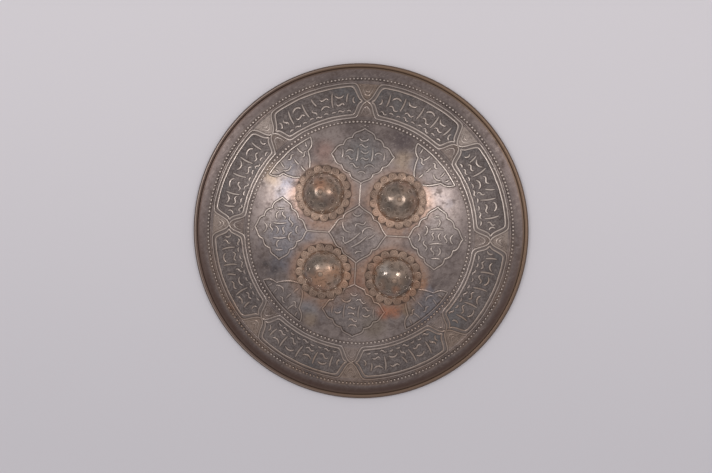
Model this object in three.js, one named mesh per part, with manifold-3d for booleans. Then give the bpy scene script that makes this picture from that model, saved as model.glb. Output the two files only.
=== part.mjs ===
import * as THREE from 'three';
import { mergeVertices } from 'three/addons/utils/BufferGeometryUtils.js';
import Module from 'manifold-3d';

const wasm = await Module();
wasm.setup();

// Dished plate, millimetres
const rimRadius = 180;
const rolledEdgeRadius = 2.5;
const rolledEdgeSides = 5;
const footWidth = 2;
const plateThickness = 1.8;
const crownHeight = 48;
const domeRadius = 345;
const flareStart = 160;
const flareEnd = 175;
const flareEndSlope = 0.16;
const brimRing = 170;
const fieldRings = [94, 70, 46, 23, 0];
const hollowRings = [0, 28, 46, 65, 95, 130, flareStart, flareEnd];
const rolledEdgeTurn = 140;
const roundSteps = 56;

// Two rows of beads, shown here as low rings
const outerBeadRow = 163.2;
const innerBeadRow = 117;
const beadRowWidth = 2.6;
const beadRowHeight = 0.8;

// Sunk panels
const sinkDepth = 0.55;
const panelTop = 60;
const floorReach = 162;
const floorMargin = 5;
const cellCount = 8;
const cellOuter = 158.8;
const cellInner = 121.4;
const cellWaist = 139.2;
const cellShoulder = 17.4;
const cellBends = [1.9, 3.4];
const cellOgee = 2;
const cellNeck = 22.7;
const cellNeckHalf = 1.6;
const cellStrap = 1.9;
const cellTip = 22.2;
const cellTipHalf = 0.5;
const medallionOuterTip = 110;
const medallionInnerTip = 53;
const medallionMiddle = 81.5;
const medallionHalfWidth = 33;
const medallionNotch = 0.36;
const medallionNotchLift = 0.4;
const medallionTipLobe = 2.2;
const medallionLobe = 2.3;
const medallionOgee = 1.8;
const cornerSide = 56.4;
const cornerApex = 58;
const cornerNotchAt = 82.9;
const cornerNotchDepth = 1.5;
const cornerLobe = 1.8;
const cornerOuter = 113;
const centreTip = 30;
const centreLobe = 2.3;
const centreNotchLift = 1.2;
const centreOgee = 2.4;

// Four fastenings, set by hand about the diagonals
const fitGap = 0.3;
const shankRadius = 1.9;
const shankSides = 8;
const drillLength = 20;
const holeRadius = 2.4;
const petalCount = 17;
const petalCircle = 25.4;
const petalRadius = 4.8;
const petalSteps = 3;
const rosetteThickness = 1.4;
const bossRadius = 22.2;
const bossHeight = 14.5;
const bossWall = 1.5;
const bossOuterRings = 4;
const bossInnerRings = 2;
const bossSides = 18;
const headRadius = 2.6;
const headHeight = 1.2;
const headShoulder = 0.75;
const roveGap = 0.45;
const roveRadius = 9;
const roveThickness = 2;
const roveSides = 8;
const eyeMidRadius = 7;
const eyeWireRadius = 2.1;
const eyeSteps = 12;
const eyeSides = 6;

const steel = { color: 0x7b716c, roughness: 0.38, metalness: 1 };
const copperyBrass = { color: 0x8c7463, roughness: 0.42, metalness: 1 };
const brownBrass = { color: 0x7b695c, roughness: 0.36, metalness: 1 };
const darkIron = { color: 0x544b45, roughness: 0.55, metalness: 1 };

function degrees(angle) {
  return THREE.MathUtils.degToRad(angle);
}

// Height of the convex face over the ground at a distance from the axis
function faceHeight(radius) {
  const onDome = Math.min(radius, flareStart);
  const domeDrop = domeRadius - Math.sqrt(domeRadius ** 2 - onDome ** 2);
  const startSlope = flareStart / Math.sqrt(domeRadius ** 2 - flareStart ** 2);
  const past = Math.max(radius - flareStart, 0);
  const easing = (startSlope - flareEndSlope) / (2 * (flareEnd - flareStart));
  return crownHeight - domeDrop - startSlope * past + easing * past ** 2;
}

// Drop of the dome below its tangent plane at a distance from the point of contact
function domeSag(distance) {
  return domeRadius - Math.sqrt(domeRadius ** 2 - distance ** 2);
}

function toSolid(geometry) {
  const bare = geometry.index ? geometry.toNonIndexed() : geometry.clone();
  bare.deleteAttribute('normal');
  bare.deleteAttribute('uv');
  const merged = mergeVertices(bare, 1e-4);
  return new wasm.Manifold(new wasm.Mesh({
    numProp: 3,
    vertProperties: new Float32Array(merged.attributes.position.array),
    triVerts: new Uint32Array(merged.index.array),
  }));
}

function toGeometry(solid) {
  const mesh = solid.getMesh();
  const geometry = new THREE.BufferGeometry();
  geometry.setAttribute('position', new THREE.BufferAttribute(mesh.vertProperties, 3));
  geometry.setIndex(new THREE.BufferAttribute(mesh.triVerts, 1));
  geometry.computeVertexNormals();
  return geometry;
}

function named(name, geometry, look) {
  const mesh = new THREE.Mesh(geometry, new THREE.MeshStandardMaterial(look));
  mesh.name = name;
  return mesh;
}

// A turned body about the upright axis, from radius and height pairs
function turned(pairs, steps) {
  const profile = pairs.map(([radius, height]) => new THREE.Vector2(radius, height));
  return new THREE.LatheGeometry(profile, steps).rotateX(Math.PI / 2);
}

function spread(from, to, count) {
  return Array.from({ length: count + 1 }, (_, step) => from + ((to - from) * step) / count);
}

function beadRow(radius) {
  const half = beadRowWidth / 2;
  return [
    [radius - half, faceHeight(radius - half)],
    [radius, faceHeight(radius) + beadRowHeight],
    [radius + half, faceHeight(radius + half)],
  ];
}

// Rolled rim from the foot, round the outside, to its top
function rolledEdge() {
  const middle = rimRadius - rolledEdgeRadius;
  const footHalf = footWidth / 2;
  const start = Math.asin(footHalf / rolledEdgeRadius) - Math.PI / 2;
  const turn = spread(start, degrees(rolledEdgeTurn), rolledEdgeSides);
  const rounded = turn.map((angle) => [
    middle + rolledEdgeRadius * Math.cos(angle),
    rolledEdgeRadius + rolledEdgeRadius * Math.sin(angle),
  ]);
  rounded[0][1] = 0;
  return [[middle - footHalf, 0], ...rounded];
}

function plateProfile() {
  const hollow = hollowRings.map((radius) => [radius, faceHeight(radius) - plateThickness]);
  const brim = [flareEnd, brimRing].map((radius) => [radius, faceHeight(radius)]);
  const band = [cellWaist, faceHeight(cellWaist)];
  const field = fieldRings.map((radius) => [radius, faceHeight(radius)]);
  const outerRow = beadRow(outerBeadRow).reverse();
  const innerRow = beadRow(innerBeadRow).reverse();
  return [...hollow, ...rolledEdge(), ...brim, ...outerRow, band, ...innerRow, ...field];
}

// The dome that the panel floors lie on, solid down past the ground
function floorDome() {
  const radii = [floorReach, cellWaist, cornerOuter, ...fieldRings];
  const floor = radii.map((radius) => [radius, faceHeight(radius) - sinkDepth]);
  return turned([[0, -floorMargin], [floorReach, -floorMargin], ...floor], roundSteps);
}

function prism(points) {
  const shape = new THREE.Shape(points);
  return new THREE.ExtrudeGeometry(shape, { depth: panelTop, bevelEnabled: false, steps: 1 });
}

function polar(radius, angle) {
  return new THREE.Vector2(radius * Math.sin(degrees(angle)), radius * Math.cos(degrees(angle)));
}

// Band panel between two crossings: rounded shoulders, an ogee to the neck and a narrow strap to the tip
function cellOutline(middleAngle) {
  const { clamp, lerp } = THREE.MathUtils;
  const radiusAt = (edge, side, angle) => {
    const part = clamp((Math.abs(angle) - cellShoulder) / (cellNeck - cellShoulder), 0, 1);
    const ease = part ** cellOgee / (part ** cellOgee + (1 - part) ** cellOgee);
    const past = clamp((Math.abs(angle) - cellTip) / cellStrap + 1, 0, 1);
    return lerp(edge, cellWaist + side * lerp(cellNeckHalf, cellTipHalf, past), ease);
  };
  const bend = [cellShoulder, ...cellBends.map((step) => cellShoulder + step), cellTip];
  const flat = spread(-cellShoulder, cellShoulder, 4).slice(1, -1);
  const angles = [...bend.map((angle) => -angle).reverse(), ...flat, ...bend];
  const outer = angles.map((angle) => polar(radiusAt(cellOuter, 1, angle), middleAngle + angle));
  const inner = angles.map((angle) => polar(radiusAt(cellInner, -1, angle), middleAngle + angle)).reverse();
  return [...outer, ...inner];
}

// Offset from the chord of one side of a medallion: three lobes with a cusp between, straight at the tips
function medallionSide(along) {
  const fromTip = Math.min(along, 1 - along);
  if (fromTip <= medallionNotch) {
    const part = fromTip / medallionNotch;
    return medallionNotchLift * part + medallionTipLobe * Math.sin(Math.PI * part ** medallionOgee);
  }
  const part = (along - medallionNotch) / (1 - 2 * medallionNotch);
  return medallionNotchLift + medallionLobe * Math.sin(Math.PI * part);
}

function lobedChord(from, to, samples, offsetAt) {
  const chord = new THREE.Vector2().subVectors(to, from);
  const outward = new THREE.Vector2(chord.y, -chord.x).normalize();
  return samples.map((along) => from.clone()
    .addScaledVector(chord, along)
    .addScaledVector(outward, offsetAt(along)));
}

function medallionOutline(turn) {
  const tips = [
    new THREE.Vector2(0, medallionOuterTip),
    new THREE.Vector2(-medallionHalfWidth, medallionMiddle),
    new THREE.Vector2(0, medallionInnerTip),
    new THREE.Vector2(medallionHalfWidth, medallionMiddle),
  ];
  const rise = [0, 0.14, 0.25];
  const fall = [0.75, 0.86];
  const samples = [...rise, medallionNotch, 0.5, 1 - medallionNotch, ...fall];
  const outline = tips.flatMap((tip, side) => {
    const next = tips[(side + 1) % tips.length];
    return lobedChord(tip, next, samples, medallionSide);
  });
  return outline.map((point) => point.rotateAround(new THREE.Vector2(), degrees(turn)));
}

// Side of a corner panel, as a distance from the axis along the other axis
function cornerSideAt(along) {
  const end = Math.sqrt(cornerOuter ** 2 - cornerSide ** 2);
  const first = (along - cornerApex) / (cornerNotchAt - cornerApex);
  const second = (along - cornerNotchAt) / (end - cornerNotchAt);
  const nearNotch = first <= 1 ? first : 1 - second;
  const lobe = Math.sin(Math.PI * THREE.MathUtils.clamp(first <= 1 ? first : second, 0, 1));
  return cornerSide + cornerNotchDepth * nearNotch ** 3 - cornerLobe * lobe;
}

function cornerOutline(turn) {
  const end = Math.sqrt(cornerOuter ** 2 - cornerSide ** 2);
  const stops = [cornerApex, 64, 71, 77, cornerNotchAt, 88, 93, end];
  const left = stops.map((along) => new THREE.Vector2(cornerSideAt(along), along));
  const right = stops.map((along) => new THREE.Vector2(along, cornerSideAt(along))).reverse();
  const limit = Math.asin(cornerSide / cornerOuter) * THREE.MathUtils.RAD2DEG;
  const arc = spread(limit, 90 - limit, 5).slice(1, -1).map((angle) => polar(cornerOuter, angle));
  const outline = [...left, ...arc, ...right];
  return outline.map((point) => point.rotateAround(new THREE.Vector2(), degrees(turn)));
}

function centreOutline() {
  const tips = [0, 90, 180, 270].map((angle) => polar(centreTip, -angle));
  const samples = [0, 0.22, 0.38, 0.5, 0.62, 0.78];
  const offsetAt = (along) => {
    const part = along <= 0.5 ? along * 2 : 2 - along * 2;
    return centreNotchLift * part + centreLobe * Math.sin(Math.PI * part ** centreOgee);
  };
  return tips.flatMap((tip, side) => lobedChord(tip, tips[(side + 1) % 4], samples, offsetAt));
}

const quarters = [0, 90, 180, 270];

function panelCutter() {
  const pitch = 360 / cellCount;
  const cells = Array.from({ length: cellCount }, (_, index) => cellOutline((index + 0.5) * pitch));
  const medallions = quarters.map((turn) => medallionOutline(turn));
  const corners = quarters.map((turn) => cornerOutline(turn));
  const outlines = [...cells, ...medallions, ...corners, centreOutline()];
  const prisms = outlines.map((outline) => toSolid(prism(outline)));
  const together = prisms.reduce((sum, next) => sum.add(next));
  return together.subtract(toSolid(floorDome()));
}

function fasteningHome(spot) {
  const contact = new THREE.Vector3(spot.x, spot.y, faceHeight(spot.length()));
  const centre = new THREE.Vector3(0, 0, crownHeight - domeRadius);
  const normal = contact.clone().sub(centre).normalize();
  const turn = new THREE.Quaternion().setFromUnitVectors(new THREE.Vector3(0, 0, 1), normal);
  return { contact, turn };
}

function shieldPlate(homes) {
  let plate = toSolid(turned(plateProfile(), roundSteps)).subtract(panelCutter());
  homes.forEach(({ contact, turn }) => {
    const drill = new THREE.CylinderGeometry(holeRadius, holeRadius, drillLength, shankSides);
    drill.rotateX(Math.PI / 2).applyQuaternion(turn).translate(contact.x, contact.y, contact.z);
    plate = plate.subtract(toSolid(drill));
  });
  return named('shield_plate', toGeometry(plate), steel);
}

const rosetteTop = fitGap + rosetteThickness;

// Outline of the petals as a row of round lobes about the middle
function petalOutline() {
  const halfPitch = Math.PI / petalCount;
  const across = petalCircle * Math.sin(halfPitch);
  const out = Math.sqrt(petalRadius ** 2 - across ** 2);
  const reach = Math.PI / 2 - Math.atan2(out, across) + halfPitch;
  return Array.from({ length: petalCount }, (_, petal) => {
    const bearing = petal * 2 * halfPitch;
    const middle = new THREE.Vector2(Math.cos(bearing), Math.sin(bearing)).multiplyScalar(petalCircle);
    const swings = spread(-reach, reach, petalSteps).slice(0, -1);
    return swings.map((swing) => new THREE.Vector2(Math.cos(bearing + swing), Math.sin(bearing + swing))
      .multiplyScalar(petalRadius)
      .add(middle));
  }).flat();
}

// Scalloped washer, bent to lie along the dome
function rosette(name) {
  const reach = petalCircle + petalRadius + 1;
  const under = [holeRadius, reach / 2, reach].map((distance) => [distance, fitGap - domeSag(distance)]);
  const over = [reach, holeRadius].map((distance) => [distance, rosetteTop - domeSag(distance)]);
  const washer = toSolid(turned([...under, ...over, under[0]], petalCount));
  const petals = toSolid(prism(petalOutline()).translate(0, 0, -panelTop / 2));
  return named(name, toGeometry(washer.intersect(petals)), copperyBrass);
}

const bossBase = rosetteTop - domeSag(bossRadius) + fitGap;
const bossCrown = bossBase + bossHeight;

function capArc(radius, height, rings) {
  const round = (radius ** 2 + height ** 2) / (2 * height);
  const reach = Math.asin(radius / round);
  const hub = Math.asin(holeRadius / round);
  return spread(reach, hub, rings).map((angle) => [
    round * Math.sin(angle),
    bossBase + height - round * (1 - Math.cos(angle)),
  ]);
}

// Hollow domed cap with a rivet hole at its crown
function boss(name) {
  const outside = capArc(bossRadius, bossHeight, bossOuterRings);
  const inside = capArc(bossRadius - bossWall, bossHeight - bossWall, bossInnerRings).reverse();
  const profile = [...outside, ...inside, outside[0]];
  return named(name, turned(profile, bossSides), brownBrass);
}

function rove(name, top) {
  const bottom = top - roveThickness;
  const profile = [
    [holeRadius, top], [holeRadius, bottom], [roveRadius, bottom], [roveRadius, top], [holeRadius, top],
  ];
  return named(name, turned(profile, roveSides), darkIron);
}

// Rivet head, shank and the eye that a strap is tied to
function eyeBolt(name, roveBottom) {
  const seat = bossCrown + fitGap;
  const eyeTop = roveBottom - fitGap;
  const eyeCentre = eyeTop - eyeMidRadius - eyeWireRadius;
  const shankEnd = eyeCentre + eyeMidRadius;
  const profile = [
    [0, shankEnd], [shankRadius, shankEnd], [shankRadius, seat], [headRadius, seat],
    [headRadius * headShoulder, seat + headHeight * headShoulder], [0, seat + headHeight],
  ];
  const shank = toSolid(turned(profile, shankSides));
  const loop = new THREE.TorusGeometry(eyeMidRadius, eyeWireRadius, eyeSides, eyeSteps);
  const eye = toSolid(loop.rotateY(Math.PI / 2).translate(0, 0, eyeCentre));
  return named(name, toGeometry(shank.add(eye)), darkIron);
}

const corners = [
  { place: 'upper_right', spot: new THREE.Vector2(39.9, 37.3) },
  { place: 'lower_right', spot: new THREE.Vector2(39.9, -43.4) },
  { place: 'lower_left', spot: new THREE.Vector2(-33.6, -41.6) },
  { place: 'upper_left', spot: new THREE.Vector2(-38.6, 40.1) },
];

const shield = new THREE.Group();
shield.name = 'buckler_shield';
const homes = corners.map(({ spot }) => fasteningHome(spot));
shield.add(shieldPlate(homes));
corners.forEach(({ place }, index) => {
  const fastening = new THREE.Group();
  fastening.name = `fastening_${place}`;
  fastening.position.copy(homes[index].contact);
  fastening.quaternion.copy(homes[index].turn);
  const roveTop = -plateThickness - roveGap;
  fastening.add(rosette(`rosette_${place}`));
  fastening.add(boss(`boss_${place}`));
  fastening.add(rove(`rove_${place}`, roveTop));
  fastening.add(eyeBolt(`eye_bolt_${place}`, roveTop - roveThickness));
  shield.add(fastening);
});

export default shield;
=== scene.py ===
import math

import bpy
import numpy as np
from mathutils import Matrix, Vector


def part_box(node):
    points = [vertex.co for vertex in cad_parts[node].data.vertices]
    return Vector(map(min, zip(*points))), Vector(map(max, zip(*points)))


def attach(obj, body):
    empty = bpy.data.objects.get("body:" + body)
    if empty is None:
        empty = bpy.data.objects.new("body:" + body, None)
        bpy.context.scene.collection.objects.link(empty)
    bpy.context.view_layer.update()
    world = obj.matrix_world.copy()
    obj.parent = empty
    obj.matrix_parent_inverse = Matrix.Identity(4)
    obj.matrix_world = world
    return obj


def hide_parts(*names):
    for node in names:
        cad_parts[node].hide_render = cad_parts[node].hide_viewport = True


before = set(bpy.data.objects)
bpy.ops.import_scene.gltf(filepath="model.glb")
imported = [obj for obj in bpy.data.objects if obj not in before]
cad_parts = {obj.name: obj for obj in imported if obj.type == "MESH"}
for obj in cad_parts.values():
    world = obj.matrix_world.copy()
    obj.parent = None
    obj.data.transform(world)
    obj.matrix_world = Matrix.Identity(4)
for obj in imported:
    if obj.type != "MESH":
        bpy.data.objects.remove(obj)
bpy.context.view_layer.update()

mm = 0.001
mergeWithin = 0.002 * mm

# Sizes are in millimetres and turns in degrees, and the plate has the same forms as its solid
plateSizes = {
    "rimRadius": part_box("shield_plate")[1][0] / mm,
    "rolledEdge": 2.5,
    "rolledTurn": 150,
    "rolledSteps": 18,
    "foot": 2.0,
    "wall": 1.8,
    "crown": 48.0,
    "domeRadius": 345.0,
    "flareStart": 160.0,
    "flareEnd": 175.0,
    "flareEndSlope": 0.16,
    "turnSteps": 208,
    "ringStep": 4.0,
    "hollowSkip": 4,        # rings of the face to one of the hollow
    "smoothAngle": 48,
}


def pick(*things):
    bpy.ops.object.select_all(action="DESELECT")
    for thing in things:
        thing.select_set(True)
    bpy.context.view_layer.objects.active = things[0]


def startEdit(piece):
    pick(piece)
    bpy.ops.object.mode_set(mode="EDIT")
    bpy.ops.mesh.select_all(action="SELECT")


def closeMesh(piece):  # merged, facing out, back in object mode
    bpy.ops.mesh.select_all(action="SELECT")
    bpy.ops.mesh.remove_doubles(threshold=mergeWithin)
    bpy.ops.mesh.normals_make_consistent(inside=False)
    bpy.ops.object.mode_set(mode="OBJECT")
    return piece


def addShape(kind, **settings):  # a primitive to start from
    bpy.ops.object.select_all(action="DESELECT")
    getattr(bpy.ops.mesh, "primitive_" + kind + "_add")(**settings)
    return bpy.context.object


def applyPlace(piece):  # place and turn go into the mesh
    pick(piece)
    bpy.ops.object.transform_apply(location=True, rotation=True, scale=True)
    return piece


def spinPiece(name, profile, steps):  # profile as distance from the axis and height
    piece = addShape("plane", size=mm)
    piece.name = name
    startEdit(piece)
    bpy.ops.mesh.merge(type="CENTER")
    here = (0.0, 0.0)
    for index, spot in enumerate(profile):
        move = ((spot[0] - here[0]) * mm, 0, (spot[1] - here[1]) * mm)
        if index == 0:
            bpy.ops.transform.translate(value=move)
        else:
            bpy.ops.mesh.extrude_vertices_move(TRANSFORM_OT_translate={"value": move})
        here = spot
    bpy.ops.mesh.select_all(action="SELECT")
    bpy.ops.mesh.spin(steps=steps, angle=2 * math.pi, center=(0, 0, 0), axis=(0, 0, 1))
    return closeMesh(piece)


def prismPiece(name, outline, low, high):  # a flat outline drawn up into a block
    piece = addShape("circle", vertices=len(outline), radius=1, fill_type="NGON")
    piece.name = name
    for vertex, spot in zip(piece.data.vertices, outline):
        vertex.co = (spot[0] * mm, spot[1] * mm, low * mm)
    startEdit(piece)
    bpy.ops.mesh.extrude_region_move(TRANSFORM_OT_translate={"value": (0, 0, (high - low) * mm)})
    return closeMesh(piece)


def combine(piece, tool, how):  # boolean with the tool used up
    pick(piece)
    step = piece.modifiers.new(how.lower(), "BOOLEAN")
    step.operation = how
    step.solver = "MANIFOLD"
    step.object = tool
    bpy.ops.object.modifier_apply(modifier=step.name)
    bpy.data.objects.remove(tool)
    return piece


def joinPieces(name, pieces):
    pick(*pieces)
    if len(pieces) > 1:
        bpy.ops.object.join()
    pieces[0].name = name
    return pieces[0]


def duplicate(piece):  # a copy with its own mesh
    copy = piece.copy()
    copy.data = piece.data.copy()
    bpy.context.collection.objects.link(copy)
    return copy


def copyPiece(name, first, homes):  # the first piece copied to each home and used up
    copies = [duplicate(first) for home in homes]
    for copy, home in zip(copies, homes):
        copy.data.transform(home)
    bpy.data.objects.remove(first)
    return joinPieces(name, copies)


def placePiece(piece, home):
    piece.matrix_world = home
    return applyPlace(piece)


def smoothPiece(piece, angle):
    pick(piece)
    bpy.ops.object.shade_smooth_by_angle(angle=math.radians(angle))


def faceHeight(radius):  # convex face over the ground, millimetres
    p = plateSizes
    dome = p["domeRadius"]
    onDome = min(radius, p["flareStart"])
    startSlope = p["flareStart"] / math.sqrt(dome ** 2 - p["flareStart"] ** 2)
    past = max(radius - p["flareStart"], 0)
    easing = (startSlope - p["flareEndSlope"]) / (2 * (p["flareEnd"] - p["flareStart"]))
    return p["crown"] - dome + math.sqrt(dome ** 2 - onDome ** 2) - startSlope * past + easing * past ** 2


def domeSag(distance):
    return plateSizes["domeRadius"] - math.sqrt(plateSizes["domeRadius"] ** 2 - distance ** 2)


def spread(first, last, count):
    return [first + (last - first) * step / count for step in range(count + 1)]


def polar(radius, angle):  # angle in degrees clockwise from the top
    turn = math.radians(angle)
    return (radius * math.sin(turn), radius * math.cos(turn))


def turnSpots(spots, angle):
    c, s = math.cos(math.radians(angle)), math.sin(math.radians(angle))
    return [(x * c - y * s, x * s + y * c) for x, y in spots]


def evenSpots(path, step):  # the same path with spots an even step apart
    lengths = [math.dist(a, b) for a, b in zip(path, path[1:])]
    count = max(3, round(sum(lengths) / step))
    even, leg, gone = [], 0, 0.0
    for index in range(count + 1):
        want = sum(lengths) * index / count
        while leg < len(lengths) - 1 and gone + lengths[leg] < want:
            gone += lengths[leg]
            leg += 1
        part = min(1.0, (want - gone) / max(lengths[leg], 1e-9))
        a, b = path[leg], path[leg + 1]
        even.append((a[0] + (b[0] - a[0]) * part, a[1] + (b[1] - a[1]) * part))
    return even


def soften(spots, rounds):  # corners rounded off, ends kept
    for step in range(rounds):
        middles = [((a[0] + 2 * b[0] + c[0]) / 4, (a[1] + 2 * b[1] + c[1]) / 4)
                   for a, b, c in zip(spots, spots[1:], spots[2:])]
        spots = [spots[0]] + middles + [spots[-1]]
    return spots


def lobedOutline(tips, count, offset):  # chords from tip to tip, each with its lobes
    spots = []
    for a, b in zip(tips, tips[1:] + tips[:1]):
        dx, dy = b[0] - a[0], b[1] - a[1]
        size = math.hypot(dx, dy)
        for t in spread(0, 1, count)[:-1]:
            lift = offset(t)
            spots.append((a[0] + dx * t + dy / size * lift, a[1] + dy * t - dx / size * lift))
    return spots


# Outlines of the panels: eight cells, four medallions, four corners and the middle
quarters = (0, 90, 180, 270)
cellSizes = {
    "count": 8,
    "outer": 158.8,
    "inner": 121.4,
    "waist": 139.2,
    "shoulder": 16.8,
    "neck": 21.9,
    "tip": 22.2,
    "ogee": 2.0,
    "neckHalf": 1.6,
    "strap": 1.9,
    "tipHalf": 0.5,
    "bendSteps": 13,
    "flatSteps": 28,
    "softening": 4,
    "inset": 3.4,           # from a cell's edge to the line inside it
    "insetTurn": 1.15,
    "insetShares": (0.78, 1.65, 1.7),  # of that turn, at the shoulder, neck and tip
}
cellMiddles = [(index + 0.5) * 360 / cellSizes["count"] for index in range(cellSizes["count"])]
crossings = [index * 360 / cellSizes["count"] for index in range(cellSizes["count"])]


def cellOutline(middle, inset=0.0, insetTurn=0.0):  # rounded shoulders and an ogee to the tip
    c = cellSizes
    places = zip((c["shoulder"], c["neck"], c["tip"]), c["insetShares"])
    shoulder, neck, tip = [place - share * insetTurn for place, share in places]
    bend = spread(shoulder, tip, c["bendSteps"])
    flat = spread(-shoulder, shoulder, c["flatSteps"])[1:-1]
    high, low = c["outer"] - inset, c["inner"] + inset
    outer, inner = [], []
    for angle in [-a for a in reversed(bend)] + flat + bend:
        part = min(max((abs(angle) - shoulder) / (neck - shoulder), 0), 1)
        ease = part ** c["ogee"] / (part ** c["ogee"] + (1 - part) ** c["ogee"])
        past = min(max((abs(angle) - tip) / c["strap"] + 1, 0), 1)
        half = c["neckHalf"] + (c["tipHalf"] - c["neckHalf"]) * past
        outer.append(polar(high + (c["waist"] + half - high) * ease, middle + angle))
        inner.append(polar(low + (c["waist"] - half - low) * ease, middle + angle))
    return soften(outer, c["softening"]) + soften(inner, c["softening"])[::-1]


def insetOutline(middle):  # the line inside a cell's edge
    return cellOutline(middle, cellSizes["inset"], cellSizes["insetTurn"])


medallionSizes = {
    "outerTip": 110.0,
    "innerTip": 53.0,
    "middle": 81.5,
    "halfWidth": 33.0,
    "notch": 0.36,
    "notchLift": 0.4,
    "tipLobe": 2.2,
    "lobe": 2.3,
    "ogee": 1.8,
    "sideSteps": 25,
}


def medallionSide(along):  # three lobes with a cusp between, straight at the tips
    m = medallionSizes
    fromTip = min(along, 1 - along)
    if fromTip <= m["notch"]:
        part = fromTip / m["notch"]
        return m["notchLift"] * part + m["tipLobe"] * math.sin(math.pi * part ** m["ogee"])
    part = (along - m["notch"]) / (1 - 2 * m["notch"])
    return m["notchLift"] + m["lobe"] * math.sin(math.pi * part)


def medallionOutline(turn):
    m = medallionSizes
    half, middle = m["halfWidth"], m["middle"]
    tips = [(0, m["outerTip"]), (-half, middle), (0, m["innerTip"]), (half, middle)]
    return turnSpots(lobedOutline(tips, m["sideSteps"], medallionSide), turn)


cornerSizes = {
    "side": 56.4,
    "apex": 58.0,
    "notchAt": 82.9,
    "notchDepth": 1.5,
    "lobe": 1.8,
    "outer": 113.0,
    "sideSteps": (16, 12),  # before and after the notch
    "arcSteps": 30,
}


def cornerEnd():  # where a side meets the outer arc
    return math.sqrt(cornerSizes["outer"] ** 2 - cornerSizes["side"] ** 2)


def cornerSideAt(along):
    k = cornerSizes
    first = (along - k["apex"]) / (k["notchAt"] - k["apex"])
    second = (along - k["notchAt"]) / (cornerEnd() - k["notchAt"])
    near, lobe = (first, first) if first <= 1 else (1 - second, second)
    lobe = math.sin(math.pi * min(max(lobe, 0), 1))
    return k["side"] + k["notchDepth"] * near ** 3 - k["lobe"] * lobe


def cornerOutline(turn):
    k = cornerSizes
    before, after = k["sideSteps"]
    stops = spread(k["apex"], k["notchAt"], before) + spread(k["notchAt"], cornerEnd(), after)[1:]
    left = [(cornerSideAt(along), along) for along in stops]
    right = [(along, cornerSideAt(along)) for along in reversed(stops)]
    limit = math.degrees(math.asin(k["side"] / k["outer"]))
    arc = [polar(k["outer"], angle) for angle in spread(limit, 90 - limit, k["arcSteps"])[1:-1]]
    return turnSpots(left + arc + right, turn)


centreSizes = {
    "tip": 30.0,
    "lobe": 2.3,
    "notchLift": 1.2,
    "ogee": 2.4,
    "sideSteps": 28,
}


def centreSide(along):  # two lobes with a notch between
    part = along * 2 if along <= 0.5 else 2 - along * 2
    bulge = centreSizes["lobe"] * math.sin(math.pi * part ** centreSizes["ogee"])
    return centreSizes["notchLift"] * part + bulge


def centreOutline():
    tips = [polar(centreSizes["tip"], -angle) for angle in quarters]
    return lobedOutline(tips, centreSizes["sideSteps"], centreSide)


def panelOutlines():
    cells = [cellOutline(middle) for middle in cellMiddles]
    medallions = [medallionOutline(turn) for turn in quarters]
    return cells + medallions + [cornerOutline(turn) for turn in quarters] + [centreOutline()]


# Raised lines, beads and strokes on the face
reliefSizes = {
    # sections of the lines, across and over the ground they lie on, with a narrow foot each side
    "edge": ((-1.5, -0.9), (-1.5, 0.08), (-0.95, 0.1), (-0.62, 0.45), (0, 0.6), (0.62, 0.45), (0.9, -0.3),
             (1.0, -0.45), (1.55, -0.47), (1.55, -0.9)),
    "line": ((-1.35, -0.6), (-1.35, 0.08), (-0.9, 0.1), (-0.6, 0.44), (0, 0.6), (0.6, 0.44), (0.9, 0.1),
             (1.35, 0.08), (1.35, -0.6)),
    "stroke": ((-1.55, -0.6), (-1.55, 0.08), (-1.0, 0.1), (-0.68, 0.46), (0, 0.62), (0.68, 0.46), (1.0, 0.1),
               (1.55, 0.08), (1.55, -0.6)),
    "fine": ((-0.95, -0.5), (-0.92, 0.08), (-0.4, 0.38), (0, 0.52), (0.4, 0.38), (0.92, 0.08), (0.95, -0.5)),
    "taperPower": 0.6,
    "wobble": 0.1,
    "stemOverlap": 0.3,
    "stemSteps": 14,
    "strokeStep": 1.65,
    "strokeTaper": 0.35,
    "beadRows": (("outerBeads", 163.2, 256, 1.45), ("innerBeads", 117.0, 178, 1.65)),  # place, count, radius
    "beadLift": -0.1,
    "ringLines": ((119.1, 0.32), (121.4, 0.32), (158.8, 0.34), (160.8, 0.24)),  # and heights
    "ringHalf": 0.55,
    "ringCrest": 0.2,
    "ringClear": 1,
    "dotRadius": 1.15,
    "dots": ((0, 113.2), (3.2, 112.2), (-3.2, 112.2)),  # beyond the upper medallion's tip
    "pearlRadius": 0.75,
    "dotSink": 0.4,         # share of the radius
    "petalReach": 29.6,
    "crest": 0.6,
    "groundBelow": 0.3,
    "backBelow": -1.0,
}


def addCurve(name, dimensions):
    piece = bpy.data.objects.new(name, bpy.data.curves.new(name, "CURVE"))
    piece.data.dimensions = dimensions
    bpy.context.collection.objects.link(piece)
    return piece


def addPath(piece, spots, closed):
    path = piece.data.splines.new("POLY")
    path.points.add(len(spots) - 1)
    for point, (x, y) in zip(path.points, spots):
        point.co = (x * mm, y * mm, 0, 1)
    path.use_cyclic_u = closed
    return path


def drawLines(name, lines, section, ground):  # drawn flat with a section, then laid on the face
    cutter = addCurve(name + "Section", "2D")
    addPath(cutter, section, True)
    piece = addCurve(name, "3D")
    piece.data.twist_mode = "Z_UP"
    piece.data.bevel_mode = "OBJECT"
    piece.data.bevel_object = cutter
    piece.data.use_fill_caps = True
    for spots, closed, taper in lines:
        path = addPath(piece, spots, closed)
        for point, along in zip(path.points, spread(0, 1, len(spots) - 1)):
            point.radius = 1 - taper + taper * math.sin(math.pi * along) ** reliefSizes["taperPower"]
    pick(piece)
    bpy.ops.object.convert(target="MESH")
    piece = bpy.context.object
    for vertex in piece.data.vertices:
        vertex.co.z += (faceHeight(math.hypot(vertex.co.x, vertex.co.y) / mm) + ground) * mm
    bpy.data.objects.remove(cutter)
    startEdit(piece)
    return closeMesh(piece)


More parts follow.
